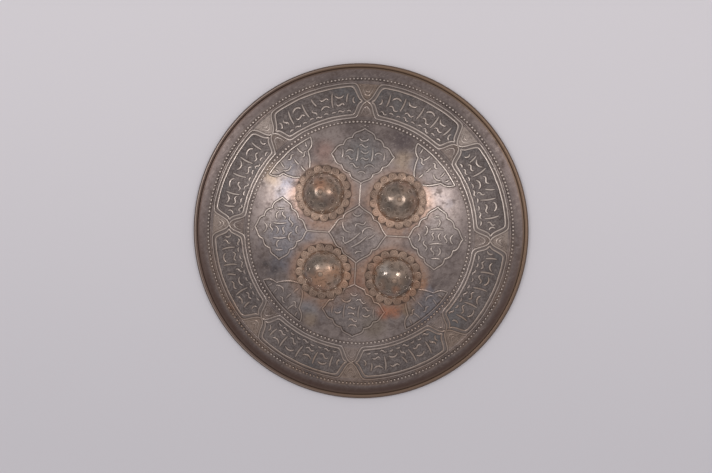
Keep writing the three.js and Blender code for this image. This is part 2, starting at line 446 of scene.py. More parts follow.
fastenSizes = {
    # given about the diagonals
    "bossSpots": ((39.9, 37.3), (39.9, -43.4), (-33.6, -41.6), (-38.6, 40.1)),
    "gap": 0.3,
    "hole": 2.4,
    "drillSides": 24,
    "drillLength": 20,
    "shank": 1.9,
    "petals": 17,
    "petalCircle": 25.4,
    "petalRadius": 4.8,
    "rosetteThickness": 1.4,
    "bossRadius": 22.2,
    "bossHeight": 14.5,
    "bossWall": 1.5,
    "headRadius": 2.6,
    "headHeight": 1.2,
    "roveRadius": 9.0,
    "roveThickness": 2.0,
    "roveGap": 0.45,
    "roveEdge": 0.5,
    "roveSteps": 40,
    "boltSteps": 20,
    "headSteps": 6,
    "headReach": 2,
    "eyeMiddle": 7.0,
    "eyeWire": 2.1,
}


def wobble(spots, seed):  # the small unevenness of hand work
    size = reliefSizes["wobble"]
    loose = []
    for x, y in spots:
        a = math.sin(x * 0.31 + seed * 1.7) + math.sin(y * 0.43 - seed)
        b = math.sin(y * 0.29 + seed * 2.3) + math.sin(x * 0.37 + seed)
        loose.append((x + size * a, y + size * b))
    return loose


def bossDistance(spot):
    return min(math.dist(spot, boss) for boss in fastenSizes["bossSpots"])


def panelLines():  # each with whether it is closed and its taper
    edges, inner = [], []
    for number, middle in enumerate(cellMiddles):
        edges.append((wobble(cellOutline(middle), number), True, 0))
        inner.append((wobble(insetOutline(middle), number + 9), True, 0))
    for number, turn in enumerate(quarters):
        edges.append((wobble(medallionOutline(turn)[::-1], number + 20), True, 0))
        path = cornerOutline(turn)
        clear = [spot for spot in path if bossDistance(spot) > reliefSizes["petalReach"]]
        start = max(range(len(clear)), key=lambda i: math.dist(clear[i], clear[i - 1]))
        edges.append((wobble(clear[start:] + clear[:start], number + 30), len(clear) == len(path), 0))
    edges.append((wobble(centreOutline()[::-1], 41), True, 0))
    return edges, inner


def stemLines():  # from the middle to each medallion
    overlap = reliefSizes["stemOverlap"]
    low, high = centreSizes["tip"] - overlap, medallionSizes["innerTip"] + overlap
    stem = [(0, y) for y in spread(low, high, reliefSizes["stemSteps"])]
    return [(turnSpots(stem, turn), False, 0) for turn in quarters]


# Ornament strokes: plain marks in rows, each round its own middle
markSizes = {  # shares of a mark's size, and the half turn of a crescent
    "barBow": 0.05,
    "crescentHalf": 62,
    "crescentDrop": 0.72,
    "tildeRise": 0.17,
    "tickRise": 0.2,
}


def bar(size):
    bow = markSizes["barBow"] * size
    return [(bow * math.sin(math.pi * t), size * (t - 0.5)) for t in spread(0, 1, 12)]


def crescent(size):
    half = math.radians(markSizes["crescentHalf"])
    reach = size / 2 / math.sin(half)
    drop = markSizes["crescentDrop"] * reach
    return [(reach * math.sin(a), drop - reach * math.cos(a)) for a in spread(-half, half, 16)]


def tilde(size):
    rise = markSizes["tildeRise"] * size
    return [(size * (t - 0.5), rise * math.sin(2 * math.pi * t)) for t in spread(0, 1, 16)]


def tick(size):
    rise = markSizes["tickRise"] * size
    return [(size * (t - 0.5), rise * math.sin(math.pi * t)) for t in spread(0, 1, 5)]


def moveMark(mark, x, y, turn=0.0):
    return [(x + a, y + b) for a, b in turnSpots(mark, turn)]


# place along a cell, height over its middle, size, lean
cellRows = (
    (
        (-40.0, 0.5, 6.5, 72, crescent), (-33.5, 2.5, 13.5, -6, bar), (-25.3, 7.0, 9.5, 190, crescent),
        (-25.5, -2.5, 10.0, -12, tilde), (-16.5, 2.8, 15.5, -6, bar), (-7.2, 6.0, 9.5, -8, crescent),
        (-7.0, -3.5, 10.0, 12, tilde), (2.0, 2.8, 15.5, -8, bar), (11.3, 7.0, 9.5, 188, crescent),
        (11.5, -2.5, 9.5, -14, tilde), (20.5, 2.8, 15.5, -4, bar), (28.4, 6.0, 8.5, -10, crescent),
        (28.6, -3.5, 9.0, 12, tilde), (36.0, 2.5, 12.0, -6, bar), (41.0, 0.5, 6.5, -70, crescent),
    ),
    (
        (-40.5, 0.0, 6.5, 80, crescent), (-34.5, 4.5, 9.5, 12, bar), (-26.6, 7.0, 9.0, 6, crescent),
        (-26.4, -3.2, 9.0, 14, tilde), (-18.0, 2.5, 16.0, 6, bar), (-9.0, 7.0, 9.5, 20, tilde),
        (-8.5, -2.5, 10.0, 176, crescent), (0.5, 5.5, 10.0, -20, bar), (2.5, -4.0, 8.0, 68, tilde),
        (11.0, 2.5, 16.0, -8, bar), (20.3, 7.0, 9.5, 174, crescent), (20.3, -3.0, 10.0, 10, tilde),
        (29.2, 2.5, 15.5, 4, bar), (35.5, 1.5, 8.5, 74, tilde), (41.0, 0.5, 6.5, -76, crescent),
    ),
)
cellLowRow = {
    "marks": ((tilde, 7.5), (tick, 5.0), (tick, 5.0)),
    "places": spread(-35, 35, 8),
    "height": -10.4,
    "step": 0.7,
    "lean": 10,
}
cellNudge = 0.9


def cellMarks(number):
    marks = []
    low = cellLowRow
    flip = -1 if number % 4 > 1 else 1
    for index, (u, v, size, lean, make) in enumerate(cellRows[number % 2]):
        mark = [(flip * a, b) for a, b in moveMark(make(size), 0, 0, lean)]
        nudge = cellNudge * math.sin(number * 1.3 + index)
        marks.append(moveMark(mark, flip * u + nudge, v + math.sin(number * 2.1 + index * 1.7)))
    for index, u in enumerate(low["places"]):
        make, size = low["marks"][(index + 2 * number) % len(low["marks"])]
        lean = low["lean"] * ((index + number) % 3 - 1)
        marks.append(moveMark(make(size), u, low["height"] + low["step"] * (index % 2), lean))
    return marks


def cellStrokes():
    strokes = []
    radius = cellSizes["waist"]
    for number, middle in enumerate(cellMiddles):
        for mark in cellMarks(number):
            strokes.append([polar(radius + v, middle + math.degrees(u / radius)) for u, v in mark])
    return strokes


# across, height over the middle, size, lean
medallionRows = (
    (0.0, 17.0, 10.0, 0, crescent), (0.0, 10.5, 9.0, 0, tilde), (-21.5, 1.5, 9.5, 0, bar),
    (-14.0, 4.5, 8.0, 188, crescent), (-13.7, -2.5, 8.5, -10, tilde), (-6.0, 1.0, 14.0, -4, bar),
    (1.7, 4.0, 8.0, -6, crescent), (2.0, -3.0, 8.5, 12, tilde), (9.5, 1.0, 14.0, -4, bar),
    (16.0, 2.5, 7.5, 190, crescent), (22.3, 0.5, 8.0, -4, bar), (-8.0, -10.5, 10.5, -8, tilde),
    (7.5, -10.5, 10.0, 186, crescent), (0.0, -17.5, 8.0, 178, crescent),
)
cornerRows = (
    (62.0, 64.5, 7.0, -45, bar), (78.5, 63.0, 10.0, -36, crescent), (69.5, 71.0, 7.5, -45, bar),
    (62.0, 79.5, 8.0, -54, tilde), (84.5, 67.0, 7.0, -38, bar), (76.0, 75.5, 8.0, -45, tilde),
    (67.0, 83.0, 8.5, -52, bar), (90.0, 60.8, 5.5, -62, bar), (60.8, 90.0, 5.5, -28, bar),
)
centreRows = (
    (-12.5, 5.5, 14.0, -48, crescent), (-5.5, -5.0, 22.0, -52, bar), (2.0, -8.0, 20.0, -52, bar),
    (2.5, 10.5, 12.0, 30, tilde), (9.5, 5.0, 12.0, 210, crescent), (14.5, -2.0, 9.0, -52, bar),
    (-1.5, 20.0, 9.0, 0, crescent), (-14.5, -6.5, 8.0, -52, tilde), (2.0, -19.5, 7.0, 20, tick),
)


def medallionStrokes():
    strokes = []
    for number, turn in enumerate(quarters):
        flip = -1 if number % 2 else 1
        for x, y, size, lean, make in medallionRows:
            mark = [(flip * a, b) for a, b in moveMark(make(size), x, y, lean)]
            strokes.append(turnSpots(moveMark(mark, 0, medallionSizes["middle"]), turn))
    return strokes


def cornerStrokes():
    strokes = []
    for number, turn in enumerate(quarters):
        for x, y, size, lean, make in cornerRows:
            mark = moveMark(make(size), x, y, lean)
            strokes.append(turnSpots([(b, a) for a, b in mark] if number % 2 else mark, turn))
    return strokes


def centreStrokes():
    return [moveMark(make(size), x, y, lean) for x, y, size, lean, make in centreRows]


# Chased work in the triangles above and below each crossing
spandrelSizes = {
    "cup": (145.6, 8.6, 2.3, 2.2, 12),  # middle, rise to the ends, half turn, power, steps
    "arch": (133.6, -8.4, 2.4, 2, 10),
    "leaf": (152.4, 3.0, 1.0, 8),       # ends, drop to the middle, half turn, steps
    "taper": 0.3,
    "leafTaper": 0.4,
    "pearlRows": ((155.6, (-3.0, -1.0, 1.0, 3.0)), (128.8, (-0.8, 0.8)), (124.9, (-2.9, -1.0, 1.0, 2.9))),
}


def bowLine(crossing, middle, rise, half, power, steps):
    return [polar(middle + rise * abs(a / half) ** power, crossing + a) for a in spread(-half, half, steps)]


def leafLine(crossing, ends, drop, half, steps):
    stops = spread(0, math.pi, steps)
    return [polar(ends - drop * math.sin(t), crossing + half * math.cos(t)) for t in stops]


def spandrelLines():
    s = spandrelSizes
    lines = []
    for crossing in crossings:
        lines.append((bowLine(crossing, *s["cup"]), False, s["taper"]))
        lines.append((leafLine(crossing, *s["leaf"]), False, s["leafTaper"]))
        lines.append((bowLine(crossing, *s["arch"]), False, s["taper"]))
    return lines


def pearlSpots():  # fine dots in the triangles
    spots = []
    for crossing in crossings:
        for radius, turns in spandrelSizes["pearlRows"]:
            spots += [polar(radius, crossing + turn) for turn in turns]
    return spots


def dotSpots():
    return [spot for turn in quarters for spot in turnSpots(reliefSizes["dots"], turn)]


def dotPiece(spots, radius):
    dot = addShape("uv_sphere", segments=8, ring_count=5, radius=radius * mm)
    sink = reliefSizes["dotSink"] * radius
    places = [(x, y, faceHeight(math.hypot(x, y)) - sink) for x, y in spots]
    return copyPiece("dots", dot, [Matrix.Translation(Vector(place) * mm) for place in places])


def beadRow(name, radius, count, bead):  # one bead copied round the shield
    height = faceHeight(radius) + reliefSizes["beadLift"]
    place = (0, radius * mm, height * mm)
    row = addShape("uv_sphere", segments=8, ring_count=6, radius=bead * mm, location=place)
    row.name = name
    applyPlace(row)
    bpy.ops.object.empty_add(location=(0, 0, 0), rotation=(0, 0, 2 * math.pi / count))
    turner = bpy.context.object
    pick(row)
    step = row.modifiers.new("row", "ARRAY")
    step.count = count
    step.use_relative_offset = False
    step.use_object_offset = True
    step.offset_object = turner
    bpy.ops.object.modifier_apply(modifier=step.name)
    bpy.data.objects.remove(turner)
    return row


def plateProfile():
    p, r = plateSizes, reliefSizes
    rings = spread(0, p["flareEnd"], round(p["flareEnd"] / p["ringStep"]))
    hollow = [(radius, faceHeight(radius) - p["wall"]) for radius in rings[::p["hollowSkip"]]]
    middle = p["rimRadius"] - p["rolledEdge"]
    start = math.asin(p["foot"] / 2 / p["rolledEdge"]) - math.pi / 2
    rim = [(middle - p["foot"] / 2, 0)]
    for angle in spread(start, math.radians(p["rolledTurn"]), p["rolledSteps"]):
        rim.append((middle + p["rolledEdge"] * math.cos(angle), p["rolledEdge"] * (1 + math.sin(angle))))
    rim[1] = (rim[1][0], 0)
    lines = [line for line, height in r["ringLines"]]
    face = [(radius, 0) for radius in rings if min(abs(radius - line) for line in lines) > r["ringClear"]]
    for line, height in r["ringLines"]:
        half, crest = r["ringHalf"], r["ringCrest"]
        face += [(line - half, 0), (line - crest, height), (line + crest, height), (line + half, 0)]
    face = [(radius, faceHeight(radius) + lift) for radius, lift in sorted(face, reverse=True)]
    return hollow + rim + face


def dropCrumbs(piece):  # bits cut loose where lines cross
    name = piece.name
    startEdit(piece)
    bpy.ops.mesh.separate(type="LOOSE")
    bpy.ops.object.mode_set(mode="OBJECT")
    *crumbs, whole = sorted(bpy.context.selected_objects, key=lambda part: len(part.data.vertices))
    for crumb in crumbs:
        bpy.data.objects.remove(crumb)
    whole.name = name
    return whole


panelCut = {
    "sink": 0.55,
    "low": -2,
    "high": 60,
    "floorReach": 162,      # the dome that the panels are cut down to
    "floorLow": -5,
    "floorRings": 44,
}


def sinkPanels(plate):
    cut, steps = panelCut, plateSizes["turnSteps"]
    blocks = [prismPiece("panel", outline, cut["low"], cut["high"]) for outline in panelOutlines()]
    cutter = joinPieces("panelCutter", blocks)
    floor = [(0, cut["floorLow"]), (cut["floorReach"], cut["floorLow"])]
    rings = reversed(spread(0, cut["floorReach"], cut["floorRings"]))
    floor += [(radius, faceHeight(radius) - cut["sink"]) for radius in rings]
    combine(cutter, spinPiece("panelFloor", floor, steps), "DIFFERENCE")
    combine(plate, cutter, "DIFFERENCE")


def makePlate():
    r, sink = reliefSizes, panelCut["sink"]
    plate = spinPiece("shieldPlateRelief", plateProfile(), plateSizes["turnSteps"])
    sinkPanels(plate)
    print("plate and panels:", len(plate.data.polygons))
    edges, inner = panelLines()
    strokes = cellStrokes() + medallionStrokes() + cornerStrokes() + centreStrokes()
    marks = [(evenSpots(stroke, r["strokeStep"]), False, r["strokeTaper"]) for stroke in strokes]
    drawn = (
        ("edgeLines", edges, "edge", 0),
        ("innerLines", inner, "line", -sink),
        ("stems", stemLines(), "line", 0),
        ("strokes", marks, "stroke", -sink),
        ("spandrels", spandrelLines(), "fine", 0),
    )
    for name, lines, section, ground in drawn:
        combine(plate, drawLines(name, lines, r[section], ground), "UNION")
        print("with " + name + ":", len(plate.data.polygons))
    for row in r["beadRows"]:
        combine(plate, beadRow(*row), "UNION")
    combine(plate, dotPiece(dotSpots(), r["dotRadius"]), "UNION")
    combine(plate, dotPiece(pearlSpots(), r["pearlRadius"]), "UNION")
    print("with beads:", len(plate.data.polygons))
    return dropCrumbs(plate)


def fasteningHome(x, y):
    contact = Vector((x * mm, y * mm, faceHeight(math.hypot(x, y)) * mm))
    centre = Vector((0, 0, (plateSizes["crown"] - plateSizes["domeRadius"]) * mm))
    turn = Vector((0, 0, 1)).rotation_difference((contact - centre).normalized())
    return Matrix.Translation(contact) @ turn.to_matrix().to_4x4()


def drillPlate(plate):  # rivet holes square to the face
    f = fastenSizes
    for x, y in f["bossSpots"]:
        drill = addShape("cylinder", vertices=f["drillSides"], radius=f["hole"] * mm,
                         depth=f["drillLength"] * mm)
        combine(plate, placePiece(drill, fasteningHome(x, y)), "DIFFERENCE")


def insideOutline(x, y, outline):
    inside = np.zeros(len(x), dtype=bool)
    low, high = np.min(outline, axis=0), np.max(outline, axis=0)
    near = (x >= low[0]) & (x <= high[0]) & (y >= low[1]) & (y <= high[1])
    a, b = x[near], y[near]
    odd = np.zeros(len(a), dtype=bool)
    for (x0, y0), (x1, y1) in zip(outline, outline[1:] + outline[:1]):
        if y0 != y1:
            odd ^= ((y0 > b) != (y1 > b)) & (a < (x1 - x0) * (b - y0) / (y1 - y0) + x0)
    inside[near] = odd
    return inside


def addLayer(piece, name, values):
    layer = piece.data.attributes.new(name, "FLOAT", "POINT")
    layer.data.foreach_set("value", np.asarray(values, dtype=np.float32))


def meshSpots(piece):  # millimetres
    spots = np.zeros(len(piece.data.vertices) * 3)
    piece.data.vertices.foreach_get("co", spots)
    return spots.reshape(-1, 3) / mm


def markRelief(piece):  # raised work, sunk grounds, straps and the back, for the finish
    r, edge = reliefSizes, plateSizes["flareEnd"]
    x, y, z = meshSpots(piece).T
    reach = np.hypot(x, y)
    rings = np.linspace(0, plateSizes["rimRadius"], 1801)
    lift = z - np.interp(reach, rings, [faceHeight(ring) for ring in rings])
    back = (lift < r["backBelow"]) & (reach < edge + 0.5)
    inside = np.zeros(len(x), dtype=bool)
    for outline in panelOutlines():
        inside |= insideOutline(x, y, outline)
    raised = lift + np.where(inside, panelCut["sink"], 0)
    raised = np.where(back | (reach > edge + 0.2), 0.0, raised)
    strap = np.zeros(len(x), dtype=bool)
    for middle in cellMiddles:
        strap |= insideOutline(x, y, cellOutline(middle)) & ~insideOutline(x, y, insetOutline(middle))
    ground = ~back & (raised < r["groundBelow"])
    addLayer(piece, "raised", np.clip(raised / r["crest"], 0, 1))
    addLayer(piece, "sunk", inside & ground)
    addLayer(piece, "groove", strap & ground)
    addLayer(piece, "back", back)


print("modelling the plate")
plate = makePlate()
drillPlate(plate)
markRelief(plate)
smoothPiece(plate, plateSizes["smoothAngle"])


# The four fastenings: rosette, boss, rove and eye bolt, made upright and then set on the dome
def petalOutline():
    f = fastenSizes
    circle, radius = f["petalCircle"], f["petalRadius"]
    half = math.pi / f["petals"]
    across = circle * math.sin(half)
    out = math.sqrt(radius ** 2 - across ** 2)
    reach = math.pi / 2 - math.atan2(out, across) + half
    outline = []
    for petal in range(f["petals"]):
        bearing = 2 * half * petal
        x, y = circle * math.cos(bearing), circle * math.sin(bearing)
        for swing in spread(-reach, reach, rosetteLook["arcSteps"])[:-1]:
            outline.append((x + radius * math.cos(bearing + swing), y + radius * math.sin(bearing + swing)))
    return outline


def stampPiece(piece, look, homes):  # punched rings, each with a point at its middle
    ring = addShape("torus", major_segments=14, minor_segments=6, major_radius=look["stampRadius"] * mm,
                    minor_radius=look["stampWire"] * mm)
    combine(piece, copyPiece("stamps", ring, homes), "UNION")
    place = (0, 0, look["pitLift"] * mm)
    pit = addShape("ico_sphere", subdivisions=1, radius=look["pit"] * mm, location=place)
    combine(piece, copyPiece("pits", applyPlace(pit), homes), "DIFFERENCE")


rosetteLook = {
    "sheet": 0.9,
    "rings": 12,
    "margin": 1,
    "petalSteps": 6,
    "arcSteps": 12,
    "cutHeights": (-20, 20),
    "coin": 4.35,
    "coinHeight": 0.42,
    "coinEdge": 0.2,
    "collar": 25.6,         # the raised ring that the coins run into
    "collarDrop": 0.14,
    "collarClear": 0.5,
    "collarSlope": 0.2,
    "stampOut": 0.9,
    "stampRadius": 2.5,
    "stampWire": 0.36,
    "pit": 0.75,
    "pitLift": 0.2,
    "pitReach": 0.6,
    "shade": 0.9,           # painted shade on the bare sheet between the petals and beside the boss, and dark patina in the pits
    "bossShade": 0.35,
}


def makeCoin():  # the low disc on a petal with its stamped ring
    look = rosetteLook
    coin = addShape("cylinder", vertices=20, radius=look["coin"] * mm, depth=2 * look["coinHeight"] * mm)
    edge = coin.modifiers.new("edge", "BEVEL")
    edge.width = look["coinEdge"] * mm
    edge.segments = 2
    bpy.ops.object.modifier_apply(modifier=edge.name)
    stampPiece(coin, look, [Matrix.Translation((look["stampOut"] * mm, 0, look["coinHeight"] * mm))])
    return coin


def makeRosette(name):
    f, look = fastenSizes, rosetteLook
    circle, step, clear = f["petalCircle"], look["collar"], look["collarClear"]
    sheet = f["gap"] + look["sheet"]
    collar = sheet + look["coinHeight"] - look["collarDrop"]
    rings = spread(f["hole"], circle + f["petalRadius"] + look["margin"], look["rings"])
    low = [ring for ring in rings if ring > step + clear]
    high = [ring for ring in rings if ring < step - clear]
    under = [(ring, f["gap"] - domeSag(ring)) for ring in rings]
    over = [(ring, sheet - domeSag(ring)) for ring in low[::-1] + [step + look["collarSlope"]]]
    over += [(ring, collar - domeSag(ring)) for ring in [step] + high[::-1]]
    washer = spinPiece(name, under + over + under[:1], look["petalSteps"] * f["petals"])
    combine(washer, prismPiece("petals", petalOutline(), *look["cutHeights"]), "INTERSECT")
    lean = Matrix.Rotation(math.asin(circle / plateSizes["domeRadius"]), 4, "Y")
    seat = Matrix.Translation((circle * mm, 0, (sheet - domeSag(circle)) * mm)) @ lean
    bearings = [2 * math.pi * petal / f["petals"] for petal in range(f["petals"])]
    homes = [Matrix.Rotation(bearing, 4, "Z") @ seat for bearing in bearings]
    combine(washer, copyPiece("coins", makeCoin(), homes), "UNION")
    x, y, z = meshSpots(washer).T
    reach, middle = np.hypot(x, y), circle + look["stampOut"]
    nearest = np.min([np.hypot(x - middle * math.cos(a), y - middle * math.sin(a)) for a in bearings], axis=0)
    sheetTop = sheet - np.array([domeSag(min(ring, 40)) for ring in reach])
    dot = (nearest < look["pitReach"]) & (z > sheetTop + 0.1) & (z < sheetTop + look["coinHeight"] - 0.1)
    # the pit layer holds painted shade between the petals and beside the boss, and dark patina in the pits
    shaded = look["shade"] * np.maximum(z < sheetTop + 0.05, dot)
    addLayer(washer, "pit", np.maximum(shaded, look["bossShade"] * (reach < f["bossRadius"] + 0.5)))
    return washer


bossLook = {
    "rows": ((8, 36), (14, 56)),        # stamps in a row, and its tilt from the crown
    "rowShift": 0.37,
    "sway": 0.12,
    "tiltSway": 2.4,
    "stampRadius": 2.6,
    "stampWire": 0.4,
    "pit": 0.85,
    "pitLift": 0.3,
    "steps": 72,
    "outerRings": 22,
    "innerRings": 10,
    # ring about the rivet, as distance and lift
    "crown": ((3.2, 0.0), (3.9, -0.1), (4.7, -0.1), (5.5, 0.08), (6.6, 0.1), (7.8, 0.0)),
    "crownReach": 9,
    "stampFull": 0.3,       # lift of a stamp's worn top
    "pitShare": 0.8,
    # darker inside each stamped ring
    "ringDark": 0.4,
    "ringBelow": 0.12,
    "faceBelow": -1.2,
}


def bossBase():
    f = fastenSizes
    return 2 * f["gap"] + f["rosetteThickness"] - domeSag(f["bossRadius"])


def ballRadius(radius, height):  # of the ball that a cap is cut from
    return (radius ** 2 + height ** 2) / (2 * height)


def capArc(radius, height, rings):
    ball = ballRadius(radius, height)
    reach, hub = math.asin(radius / ball), math.asin(fastenSizes["hole"] / ball)
    top = bossBase() + height
    return [(ball * math.sin(a), top - ball * (1 - math.cos(a))) for a in spread(reach, hub, rings)]


def stampWays():  # from the middle of the ball to each stamp
    look = bossLook
    ways = []
    for row, (count, tilt) in enumerate(look["rows"]):
        for index in range(count):
            place = index + look["rowShift"] * row + look["sway"] * math.sin(5.1 * index + row)
            bearing = 2 * math.pi * place / count
            lean = math.radians(tilt + look["tiltSway"] * math.sin(2.7 * index + 1.9 * row))
            out = math.sin(lean)
            ways.append(Vector((out * math.cos(bearing), out * math.sin(bearing), math.cos(lean))))
    return ways


def makeBoss(name):
    f, look = fastenSizes, bossLook
    radius, height, wall, crown = f["bossRadius"], f["bossHeight"], f["bossWall"], look["crown"]
    ball = ballRadius(radius, height)
    base = bossBase() + height - ball
    outside = [spot for spot in capArc(radius, height, look["outerRings"]) if spot[0] > crown[-1][0] + 0.5]
    for ring, lift in crown[::-1] + ((f["hole"], 0),):
        outside.append((ring, base + math.sqrt(ball ** 2 - ring ** 2) + lift))
    inside = capArc(radius - wall, height - wall, look["innerRings"])
    cap = spinPiece(name, outside + inside[::-1] + outside[:1], look["steps"])
    ways = stampWays()
    seats = [Vector((0, 0, base)) + way * ball for way in ways]
    turns = [Vector((0, 0, 1)).rotation_difference(way).to_matrix().to_4x4() for way in ways]
    stampPiece(cap, look, [Matrix.Translation(seat * mm) @ turn for seat, turn in zip(seats, turns)])
    x, y, z = meshSpots(cap).T
    reach = np.hypot(x, y)
    away = np.sqrt(x ** 2 + y ** 2 + (z - base) ** 2) - ball
    nearest = np.min([np.hypot(np.hypot(x - s.x, y - s.y), z - s.z) for s in seats], axis=0)
    inRing = (nearest < look["stampRadius"] - 0.1) & (away < look["ringBelow"])
    pit = np.where(nearest < look["pit"] * look["pitShare"], 1.0, look["ringDark"] * inRing)
    addLayer(cap, "stamp", np.clip(away / look["stampFull"], 0, 1) * (reach > look["crownReach"]))
    addLayer(cap, "skirt", reach / radius)
    addLayer(cap, "pit", np.where(away > look["faceBelow"], pit, 0))
    return cap


def roveTop():
    return -plateSizes["wall"] - fastenSizes["roveGap"]


def makeRove(name):
    f = fastenSizes
    hole, rim, edge = f["hole"], f["roveRadius"], f["roveEdge"]
    top, low, soft = roveTop(), roveTop() - f["roveThickness"], edge * 0.6
    under = [(hole, top), (hole, low), (rim - 2 * edge, low), (rim - soft, low + edge * 0.4)]
    over = [(rim, low + edge), (rim, top - soft), (rim - soft, top), (hole, top)]
    return spinPiece(name, under + over, f["roveSteps"])


def makeEyeBolt(name):
    f = fastenSizes
    seat = bossBase() + f["bossHeight"] + f["gap"]
    eye = roveTop() - f["roveThickness"] - f["gap"] - f["eyeMiddle"] - f["eyeWire"]
    foot = eye + f["eyeMiddle"]
    profile = [(0, foot), (f["shank"], foot), (f["shank"], seat)]
    for a in spread(0, math.pi / 2, f["headSteps"]):
        profile.append((f["headRadius"] * math.cos(a), seat + f["headHeight"] * math.sin(a)))
    bolt = spinPiece(name, profile, f["boltSteps"])
    loop = addShape("torus", major_segments=40, minor_segments=14, major_radius=f["eyeMiddle"] * mm,
                    minor_radius=f["eyeWire"] * mm, location=(0, 0, eye * mm), rotation=(0, math.pi / 2, 0))
    combine(bolt, applyPlace(loop), "UNION")
    addLayer(bolt, "head", meshSpots(bolt)[:, 2] > seat - f["headReach"])
    return bolt


# maker, slot, smoothing angle, and turn from one corner to the next in radians
makers = {
    "rosette": (makeRosette, "rosette_brass", 40, 0.13),
    "boss": (makeBoss, "boss_brass", 50, 1.1),
    "rove": (makeRove, "back_iron", 40, 0),
    "eye_bolt": (makeEyeBolt, "back_iron", 55, 0),
}
corners = ("upper_right", "lower_right", "lower_left", "upper_left")
fastenings = {}
for kind, (make, slot, angle, turn) in makers.items():
    first = make(kind + "Master")
    for index, corner in enumerate(corners):
        piece = duplicate(first)
        piece.name = kind + "." + corner
        home = fasteningHome(*fastenSizes["bossSpots"][index])
        placePiece(piece, home @ Matrix.Rotation(turn * index, 4, "Z"))
        smoothPiece(piece, angle)
        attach(piece, "root")
        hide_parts(kind + "_" + corner)
        fastenings[piece.name] = piece
    bpy.data.objects.remove(first)
    print("made", kind, len(piece.data.polygons))

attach(plate, "root")
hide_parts("shield_plate")


# Finishes
class Wire:  # a socket that can be used in sums
    def __init__(self, finish, socket):
        self.finish = finish
        self.socket = socket

    def sum(self, operation, first, second):
        return self.finish.node("ShaderNodeMath", {"operation": operation}, {0: first, 1: second})

    def __add__(self, other):
        return self.sum("ADD", self, other)

    def __radd__(self, other):
        return self.sum("ADD", other, self)

    def __sub__(self, other):
        return self.sum("SUBTRACT", self, other)

    def __rsub__(self, other):
        return self.sum("SUBTRACT", other, self)

    def __mul__(self, other):
        return self.sum("MULTIPLY", self, other)

    def __rmul__(self, other):
        return self.sum("MULTIPLY", other, self)


class Finish:  # one finish and the nodes that make it
    def __init__(self, name):
        self.material = bpy.data.materials.new(name)
        self.material.use_nodes = True
        self.tree = self.material.node_tree
        self.shader = self.tree.nodes["Principled BSDF"]
        self.place = self.node("ShaderNodeTexCoord", out="Object")

    def node(self, kind, settings=None, values=None, out=0):
        made = self.tree.nodes.new(kind)
        for key, value in (settings or {}).items():
            setattr(made, key, value)
        for key, value in (values or {}).items():
            self.link(value, made.inputs[key])
        return Wire(self, made.outputs[out])

    def link(self, value, socket):
        if isinstance(value, Wire):
            self.tree.links.new(value.socket, socket)
        else:
            socket.default_value = value

    def attribute(self, name):
        return self.node("ShaderNodeAttribute", {"attribute_name": name}, out="Fac")

    def noise(self, scale, detail, rough, shift):
        move = (shift, shift * 0.7, -shift)
        spot = self.node("ShaderNodeMapping", {}, {"Vector": self.place, "Location": move})
        values = {"Vector": spot, "Scale": scale, "Detail": detail, "Roughness": rough}
        return self.node("ShaderNodeTexNoise", {}, values)

    def band(self, value, low, high):  # 0 below low, 1 above high
        limits = {"Value": value, "From Min": low, "From Max": high}
        return self.node("ShaderNodeMapRange", {"interpolation_type": "SMOOTHSTEP"}, limits)

    def distance(self, x, y):  # metres from an upright line
        flat = self.node("ShaderNodeVectorMath", {"operation": "MULTIPLY"}, {0: self.place, 1: (1, 1, 0)})
        ends = {0: flat, 1: (x * mm, y * mm, 0)}
        return self.node("ShaderNodeVectorMath", {"operation": "DISTANCE"}, ends, "Value")

    def blend(self, factor, first, second):
        return self.node("ShaderNodeMix", {"data_type": "RGBA"}, {0: factor, 6: first, 7: second}, 2)

    def bump(self, height, strength, distance):
        values = {"Height": height, "Strength": strength, "Distance": distance * mm}
        return self.node("ShaderNodeBump", {}, values)

    def fade(self, value, low, high):  # 1 below low, 0 above high
        return 1 - self.band(value, low, high)

    def between(self, value, start, end):
        return self.band(value, *start) * self.fade(value, *end)

    def coat(self, amount, paint):  # one more layer over the colour so far
        self.colour = self.blend(amount, self.colour, paint)

    def stain(self, patches, mask):  # soft stains, listed one by one
        for x, y, size, paint, amount in patches:
            spot = self.fade(self.distance(x, y), 0.2 * size * mm, size * mm) * mask
            self.coat(spot * amount, tone(*paint))

    def feed(self, **sockets):
        self.link(self.colour, self.shader.inputs["Base Color"])
        for name, value in sockets.items():
            self.link(value, self.shader.inputs[name])


def tone(red, green, blue):  # screen colour to shader colour
    shares = [part / 255 for part in (red, green, blue)]
    return (*(s / 12.92 if s <= 0.04045 else ((s + 0.055) / 1.055) ** 2.4 for s in shares), 1.0)


